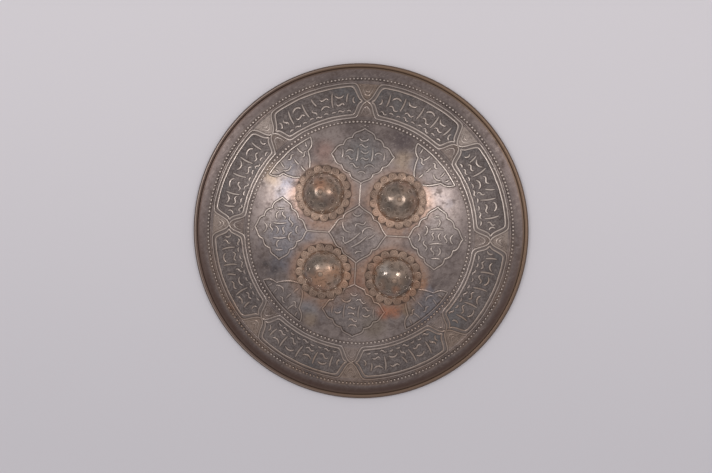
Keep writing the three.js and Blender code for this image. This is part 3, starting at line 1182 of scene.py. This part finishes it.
steelLook = {
    "dark": tone(122, 110, 107),
    "light": tone(158, 144, 139),
    "stain": tone(92, 79, 73),
    "speckLight": tone(178, 163, 155),
    "blue": tone(126, 128, 140),
    "copper": tone(166, 130, 108),
    "brim": tone(125, 113, 110),
    "brimBrown": tone(86, 67, 60),
    "rolled": tone(112, 93, 80),
    "rolledShaded": tone(100, 83, 76),
    "rolledTan": tone(128, 105, 87),
    "rolledPale": tone(186, 170, 160),
    "cellGround": tone(132, 123, 120),
    "cellGroundDark": tone(82, 76, 75),
    "cellGroundBlue": tone(104, 110, 114),
    "panelGround": tone(150, 141, 138),
    "panelGroundDark": tone(94, 90, 90),
    "strap": tone(142, 129, 123),
    "spandrel": tone(160, 138, 122),
    "spandrelHighlight": tone(224, 206, 194),
    "bright": tone(218, 203, 193),
    "wornTan": tone(188, 156, 130),
    "strip": tone(144, 117, 98),
    "grimeAndShade": tone(66, 56, 51),
    "back": tone(96, 86, 80),
    "roughness": 0.31,
    "glints": ((-105, 62), (106, 60)),  # middles of the painted highlight on the raised work, millimetres
    "noise": {              # scale, detail, roughness, shift
        "cloud": (26, 5, 0.62, 0.0),
        "patch": (15, 3, 0.5, 3.1),
        "mottle": (110, 4, 0.6, 2.3),
        "fine": (620, 4, 0.6, 1.7),
        "speck": (240, 5, 0.7, 6.2),
        "hammered": (95, 2, 0.5, 5.0),
    },
    "punchScale": 560.0,
    "scratch": {"Scale": 800.0, "Detail": 2.0},
    "scratchRun": {"Rotation": (0, 0, -0.9), "Scale": (1, 18, 1)},
    # where a tone begins and is full, or begins to fade and is gone, metres
    "lowerHalf": (-0.09, 0.03),
    "litSide": (-0.12, 0.02),
    "glintEnd": (0.03, 0.115),
    "warmEnd": (0.028, 0.046),
    "petalShadeEnd": (0.0284, 0.0304),
    "fieldEnd": (0.085, 0.11),
    "bandStart": (0.114, 0.12),
    "crossingStart": (0.1222, 0.123),
    "crossingOuter": (0.132, 0.142),
    "crossingHighlight": (0.136, 0.142),
    "crossingEnd": (0.1572, 0.1582),
    "stripStart": (0.1575, 0.159),
    "stripEnd": (0.165, 0.167),
    "brimStart": (0.161, 0.168),
    "brimDull": (0.163, 0.17),
    "brownStart": (0.164, 0.172),
    "rolledStart": (0.1726, 0.1745),
    "tanStart": (0.1752, 0.1762),
    "tanEnd": (0.1788, 0.1796),
    "paleStart": (0.1774, 0.1778),
    "paleEnd": (0.1784, 0.1789),
    "beadEnd": (0.0014, 0.0022),
    # place and size in millimetres, colour, strength
    "patches": (
        (0, 84, 27, (118, 124, 127), 0.6),
        (-41, 84, 17, (172, 132, 119), 0.45),
        (44, 79, 16, (202, 176, 148), 0.5),
        (56, 76, 11, (140, 142, 156), 0.5),
        (40, 101, 20, (84, 74, 77), 0.7),
        (31, -82, 11, (190, 124, 98), 0.8),
        (43, -80, 10, (190, 126, 98), 0.8),
        (70, -48, 9, (176, 132, 104), 0.7),
        (57, -77, 10, (152, 124, 98), 0.6),
        (22, -96, 20, (128, 114, 98), 0.6),
        (-92, 56, 22, (190, 166, 140), 0.5),
        (0, -52, 18, (142, 106, 94), 0.6),
        (-12, -50, 14, (166, 124, 100), 0.6),
        (-89, -42, 22, (92, 86, 86), 0.5),
        (-96, -39, 5, (58, 56, 60), 0.8),
        (-86, -44, 6, (58, 56, 60), 0.7),
        (-46, -81, 15, (130, 138, 148), 0.45),
        (-46, -94, 13, (156, 132, 104), 0.45),
        (-132, -88, 9, (150, 100, 70), 0.7),
    ),
}


def steelFinish():
    look = steelLook
    steel = Finish("darkenedSteel")
    band, fade, between, coat, blend = steel.band, steel.fade, steel.between, steel.coat, steel.blend
    raised, sunk, groove, back = [steel.attribute(name) for name in ("raised", "sunk", "groove", "back")]
    reach = steel.distance(0, 0)
    across, upward = [steel.node("ShaderNodeSeparateXYZ", {}, {0: steel.place}, axis) for axis in "XY"]
    lower = fade(upward, *look["lowerHalf"])
    inBand = band(reach, *look["bandStart"])
    cloud, patch, mottle, fine, speck, hammered = [steel.noise(*grain) for grain in look["noise"].values()]
    # glint marks where a painted highlight falls on the raised work and the outer triangles
    glint = 0
    for x, y in look["glints"]:
        glint = glint + fade(steel.distance(x, y), *look["glintEnd"])
    # the field, warm about the bosses, and a mask for painted shade round each rosette
    steel.colour = blend(band(cloud, 0.36, 0.64), look["dark"], look["light"])
    coat(band(patch, 0.54, 0.68) * (0.55 - 0.5 * inBand), look["blue"])
    warm, petalShade = 0, 0
    for x, y in fastenSizes["bossSpots"]:
        warm = warm + fade(steel.distance(x, y - 4), *look["warmEnd"]) * (0.7 if y > 0 else 1.0)
        petalShade = petalShade + fade(steel.distance(x, y), *look["petalShadeEnd"])
    warm = warm * band(cloud, 0.2, 0.5) * fade(reach, *look["fieldEnd"])
    coat(band(warm, 0.0, 1.0) * 0.75, look["copper"])
    steel.stain(look["patches"], band(cloud, 0.3, 0.55))
    coat(band(reach, *look["brimStart"]) * 0.85, look["brim"])
    strip = between(reach, look["stripStart"], look["stripEnd"]) * band(cloud, 0.38, 0.6)
    coat(strip * (0.2 + 0.35 * lower), look["strip"])
    # triangles at the crossings, with punched dots and a painted highlight near the glints
    triangles = between(reach, look["crossingStart"], look["crossingEnd"]) * (1 - sunk) * (1 - groove)
    bright = glint * band(reach, *look["crossingHighlight"])
    paint = blend(bright, look["spandrel"], look["spandrelHighlight"])
    coat(triangles * (0.25 + 0.4 * band(reach, *look["crossingOuter"])), paint)
    dots = {"Vector": steel.place, "Scale": look["punchScale"]}
    punch = steel.node("ShaderNodeTexVoronoi", {}, dots, "Distance")
    coat(fade(punch, 0.14, 0.32) * triangles * 0.5, look["grimeAndShade"])
    # sunk grounds
    grain = band(fine, 0.36, 0.6)
    inPanel = blend(grain, look["panelGroundDark"], look["panelGround"])
    inCell = blend(grain, look["cellGroundDark"], look["cellGround"])
    inCell = blend(band(patch, 0.5, 0.62) * 0.6, inCell, look["cellGroundBlue"])
    coat(sunk * (0.35 + 0.3 * inBand), blend(inBand, inPanel, inCell))
    dirt = band(mottle, 0.5, 0.72) * band(patch, 0.35, 0.6)
    coat(dirt * 0.55, look["stain"])
    # specks and fine scratches
    coat(fade(speck, 0.36, 0.5) * 0.42, look["stain"])
    coat(band(speck, 0.54, 0.66) * 0.34, look["speckLight"])
    turned = {"Vector": steel.place, **look["scratchRun"]}
    alongScratch = steel.node("ShaderNodeMapping", {"vector_type": "TEXTURE"}, turned)
    scratch = steel.node("ShaderNodeTexNoise", {}, {"Vector": alongScratch, **look["scratch"]})
    coat(band(scratch, 0.58, 0.7) * (1 - sunk) * 0.3, look["speckLight"])
    # straps, a darker band round the beads, and painted shade round the petals
    coat(groove * 0.65, look["strap"])
    beads = 0
    for name, row, count, bead in reliefSizes["beadRows"]:
        aside = steel.node("ShaderNodeMath", {"operation": "ABSOLUTE"}, {0: reach - row * mm})
        beads = beads + fade(aside, *look["beadEnd"])
    coat(beads * 0.3, look["grimeAndShade"])
    coat(petalShade * 0.75, look["grimeAndShade"])
    # painted shade at the feet of the raised work, and its worn tops, brighter as a painted highlight near
    # the glints and on the beads, fainter in the lower half
    foot = between(raised, (0.05, 0.11), (0.2, 0.4))
    coat(foot * (0.55 - 0.4 * groove), look["grimeAndShade"])
    wearAndGlint = 0.44 + 0.46 * glint + 0.2 * beads - 0.1 * lower
    wornAndGlint = band(raised, 0.38, 0.74) * wearAndGlint * (0.6 + 0.4 * band(mottle, 0.3, 0.6))
    tan = lower * band(patch, 0.4, 0.6) * 0.7
    coat(wornAndGlint, blend(tan, look["bright"], look["wornTan"]))
    # rolled edge, tan to the right and dark with a pale streak to the left: painted light on the right and
    # painted shade on the left, the pale streak part wear and part painted highlight; the brim darker brown
    # towards the bottom
    litSide = band(across, *look["litSide"])
    coat(band(reach, *look["brownStart"]) * (0.25 + 0.6 * lower), look["brimBrown"])
    rolled = blend(litSide * (1 - 0.5 * lower), look["rolledShaded"], look["rolled"])
    coat(band(reach, *look["rolledStart"]), rolled)
    streak = between(reach, look["tanStart"], look["tanEnd"])
    coat(streak * (0.1 + 0.75 * litSide) * (1 - 0.55 * lower), look["rolledTan"])
    edge = between(reach, look["paleStart"], look["paleEnd"])
    coat(edge * (0.6 - 0.5 * litSide), look["rolledPale"])
    coat(back, look["back"])
    rough = look["roughness"] + 0.05 * sunk + 0.1 * (cloud - 0.5) + 0.12 * dirt + 0.15 * back
    rough = rough + 0.1 * band(reach, *look["brimDull"])
    height = 0.25 * fine * (1 + 2 * sunk) + 1.2 * hammered * back
    steel.feed(Roughness=rough, Metallic=1.0, Normal=steel.bump(height, 0.5, 0.25))
    return steel.material


brassLook = {
    "petal": tone(172, 146, 129),
    "petalDark": tone(134, 114, 102),
    "boss": tone(170, 149, 134),
    "bossDark": tone(128, 115, 106),
    "bossCopper": tone(176, 138, 114),
    "crevice": tone(76, 60, 51),
    "stampTop": tone(190, 172, 158),
    # painted sheen on the boss's lower sides
    "bossFootSheen": tone(214, 188, 168),
    "petalRoughness": 0.4,
    "bossRoughness": 0.27,
    "polishedBoss": (41, -44),
    "polishEnd": (0.021, 0.026),
    "metallic": 0.9,
    # scale, detail, roughness, shift
    "petalNoise": ((60, 4, 0.6, 0.0), (600, 3, 0.6, 2.0)),
    "bossNoise": ((48, 4, 0.6, 0.8), (330, 4, 0.65, 4.0), (34, 3, 0.5, 7.7)),
    # place and size in millimetres, colour, strength
    "petalPatches": (
        (24, 24, 24, (212, 174, 152), 0.6),
        (-52, 34, 26, (192, 164, 146), 0.5),
        (52, -52, 26, (182, 140, 114), 0.6),
        (28, -34, 18, (176, 132, 108), 0.6),
        (-16, -46, 20, (192, 148, 120), 0.6),
        (-52, -40, 26, (196, 168, 148), 0.5),
    ),
    "bossPatches": (
        (-42, 50, 10, (184, 132, 104), 0.6),
        (-31, 34, 12, (98, 90, 88), 0.6),
        (34, 32, 10, (98, 90, 83), 0.6),
        (51, 33, 9, (94, 86, 79), 0.6),
        (-36, -51, 19, (180, 138, 112), 0.75),
        (-20, -40, 11, (182, 138, 110), 0.7),
        (-40, -32, 11, (136, 124, 114), 0.6),
        (-54, -46, 6, (106, 114, 120), 0.5),
        (36, -48, 15, (108, 99, 92), 0.55),
        (30, -34, 9, (196, 186, 178), 0.6),
        (55, -46, 10, (98, 90, 84), 0.6),
        (44, -55, 7, (170, 122, 96), 0.6),
        (50, -60, 8, (100, 100, 94), 0.5),
    ),
}


def petalFinish():
    look = brassLook
    brass = Finish("copperyBrass")
    cloud, fine = [brass.noise(*grain) for grain in look["petalNoise"]]
    brass.colour = brass.blend(brass.band(cloud, 0.36, 0.66), look["petal"], look["petalDark"])
    brass.stain(look["petalPatches"], brass.band(cloud, 0.2, 0.5))
    brass.coat(brass.fade(fine, 0.3, 0.5) * 0.3, look["crevice"])
    # pit layer: painted shade between the petals and beside the boss, dark patina in the pits
    brass.coat(brass.attribute("pit") * 0.8, look["crevice"])
    rough = look["petalRoughness"] + 0.2 * (cloud - 0.4)
    brass.feed(Roughness=rough, Metallic=look["metallic"], Normal=brass.bump(0.3 * fine + cloud, 0.3, 0.3))
    return brass.material


def bossFinish():
    look = brassLook
    brass = Finish("brownBrass")
    cloud, fine, blotch = [brass.noise(*grain) for grain in look["bossNoise"]]
    brass.colour = brass.blend(brass.band(cloud, 0.38, 0.62), look["bossDark"], look["boss"])
    brass.coat(brass.band(blotch, 0.5, 0.66) * 0.5, look["bossCopper"])
    brass.stain(look["bossPatches"], brass.band(cloud, 0.2, 0.5))
    brass.coat(brass.fade(fine, 0.34, 0.5) * 0.5, look["crevice"])
    # painted sheen: the boss painted lighter towards its foot
    brass.coat(brass.band(brass.attribute("skirt"), 0.72, 1.0) * 0.6, look["bossFootSheen"])
    brass.coat(brass.attribute("stamp") * 0.55, look["stampTop"])
    brass.coat(brass.attribute("pit") * 0.9 * brass.band(cloud, 0.4, 0.62), look["crevice"])
    polished = brass.fade(brass.distance(*look["polishedBoss"]), *look["polishEnd"])
    rough = look["bossRoughness"] + 0.25 * (cloud - 0.45) - 0.09 * polished
    dents = brass.bump(0.5 * fine + 1.2 * cloud, 0.7, 0.3)
    brass.feed(Roughness=rough, Metallic=look["metallic"], Normal=dents)
    return brass.material


ironLook = {
    "dark": tone(84, 77, 72),
    "light": tone(116, 103, 93),
    "head": tone(160, 138, 122),
    "roughness": 0.5,
    "metallic": 0.9,
    "noise": ((70, 5, 0.65, 0.0), (500, 3, 0.6, 1.0)),  # scale, detail, roughness, shift
}


def ironFinish():
    look = ironLook
    iron = Finish("forgedIron")
    cloud, fine = [iron.noise(*grain) for grain in look["noise"]]
    iron.colour = iron.blend(iron.band(cloud, 0.35, 0.65), look["dark"], look["light"])
    iron.coat(iron.attribute("head"), look["head"])
    rough = look["roughness"] + 0.2 * (cloud - 0.5)
    iron.feed(Roughness=rough, Metallic=look["metallic"], Normal=iron.bump(fine + cloud, 0.4, 0.3))
    return iron.material


def dress(piece, material):
    piece.data.materials.clear()
    piece.data.materials.append(material)


dress(plate, steelFinish())
finishes = {"rosette": petalFinish(), "boss": bossFinish(), "rove": ironFinish(), "eye_bolt": ironFinish()}
for name, piece in fastenings.items():
    dress(piece, finishes[name.split(".")[0]])
print("finishes on")

# Floor, light and camera
studio = {
    "floor": 4.0,
    "floorTone": tone(214, 210, 215),
    "floorPale": tone(231, 226, 230),
    # painted light falloff along the floor, paler towards the top
    "floorShade": (-0.32, 0.32),
    "floorRoughness": 0.9,
    "world": 0.54,
    "worldTone": (1.0, 0.985, 1.0, 1.0),
    "overhead": {"size": 2.4, "place": (0, 0.2, 2.6), "power": 6.4},
    "boxes": (((-0.558, 0.187, 0.808), 3.3), ((0.464, 0.224, 0.858), 3.0)),  # direction and power
    "boxSize": 0.3,
    "boxDistance": 1.8,
    # camera, millimetres and degrees
    "eye": (81.8, 83.7, 1500.0),
    "target": (-2.9, -4.3, 20.0),
    "roll": -3.52,
    "lens": 70.8,
    "sensor": 36,
}


def makeFloor():
    floor = addShape("plane", size=studio["floor"], location=(0, 0, 0))
    floor.name = "studioFloor"
    paper = Finish("palePaper")
    # painted light falloff: the floor is paler towards the top and darker towards the bottom
    upward = paper.node("ShaderNodeSeparateXYZ", {}, {0: paper.place}, "Y")
    shade = paper.band(upward, *studio["floorShade"])
    paper.colour = paper.blend(shade, studio["floorTone"], studio["floorPale"])
    paper.feed(Roughness=studio["floorRoughness"])
    dress(floor, paper.material)


def makeSoftbox(name, place, size, power):  # aimed at the middle of the floor
    bpy.ops.object.light_add(type="AREA", location=place)
    lamp = bpy.context.object
    lamp.name = name
    lamp.data.shape = "SQUARE"
    lamp.data.size = size
    lamp.data.energy = power
    lamp.rotation_euler = (-Vector(place)).to_track_quat("-Z", "Y").to_euler()


def makeStudio():
    makeFloor()
    world = bpy.data.worlds.new("softRoom")
    world.use_nodes = True
    room = world.node_tree.nodes["Background"]
    room.inputs["Color"].default_value = studio["worldTone"]
    room.inputs["Strength"].default_value = studio["world"]
    bpy.context.scene.world = world
    top = studio["overhead"]
    makeSoftbox("overheadBox", top["place"], top["size"], top["power"])
    for index, (way, power) in enumerate(studio["boxes"]):
        place = Vector(way).normalized() * studio["boxDistance"]
        makeSoftbox("sideBox%d" % index, place, studio["boxSize"], power)


def makeCamera():
    eye = Vector(studio["eye"]) * mm
    ahead = (Vector(studio["target"]) * mm - eye).normalized()
    roll = math.radians(studio["roll"])
    up = Vector((math.sin(roll), math.cos(roll), 0))
    right = ahead.cross(up).normalized()
    up = right.cross(ahead)
    bpy.ops.object.camera_add(location=eye)
    camera = bpy.context.object
    camera.name = "photoCamera"
    camera.rotation_euler = Matrix((right, up, -ahead)).transposed().to_euler()
    camera.data.lens = studio["lens"]
    camera.data.sensor_width = studio["sensor"]
    bpy.context.scene.camera = camera


makeStudio()
makeCamera()
bpy.context.scene.view_settings.view_transform = "Standard"
print("studio ready")
